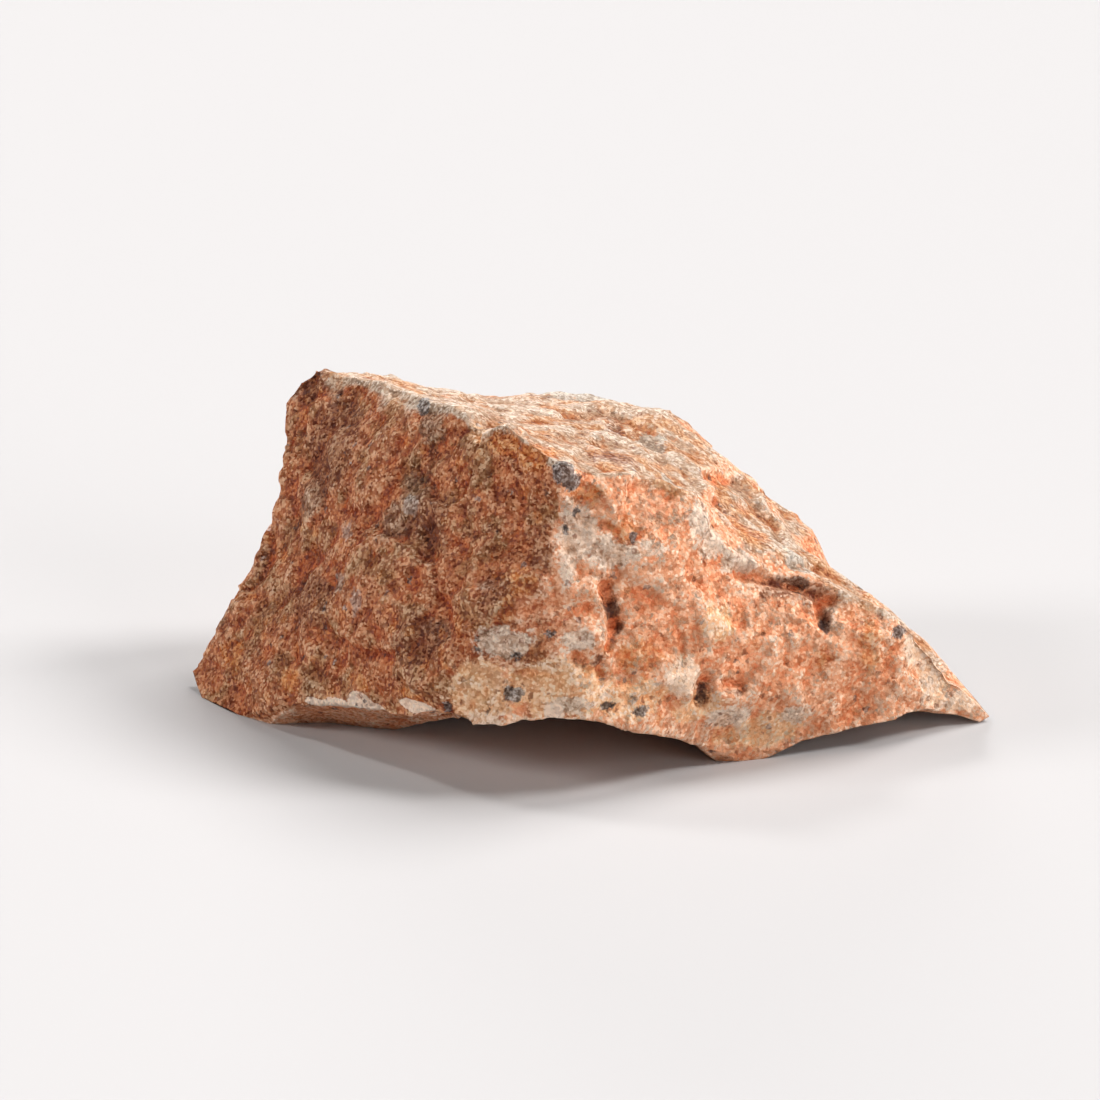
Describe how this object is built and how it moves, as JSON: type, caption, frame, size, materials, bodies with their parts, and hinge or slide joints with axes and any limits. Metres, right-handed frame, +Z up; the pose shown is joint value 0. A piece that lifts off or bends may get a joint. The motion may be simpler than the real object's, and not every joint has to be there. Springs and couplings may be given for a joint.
{
  "type": "lunar meteorite fragment",
  "caption": "Small broken stone fragment with two large fresh faces, a flat top slope and a thin spur, resting on worn feet.",
  "frame": {"origin": "on the ground under the middle of the stone's bounding box", "axes": "+X along the stone from the blunt end to the spur, +Y from the two fresh faces to the back, +Z up"},
  "size_m": [0.0248, 0.0148, 0.0104],
  "materials": {
    "stone": "rough broken stone, rust brown and salmon with cream and grey patches, matt"
  },
  "bodies": {
    "root": {"stone": "stone"}
  },
  "joints": []
}
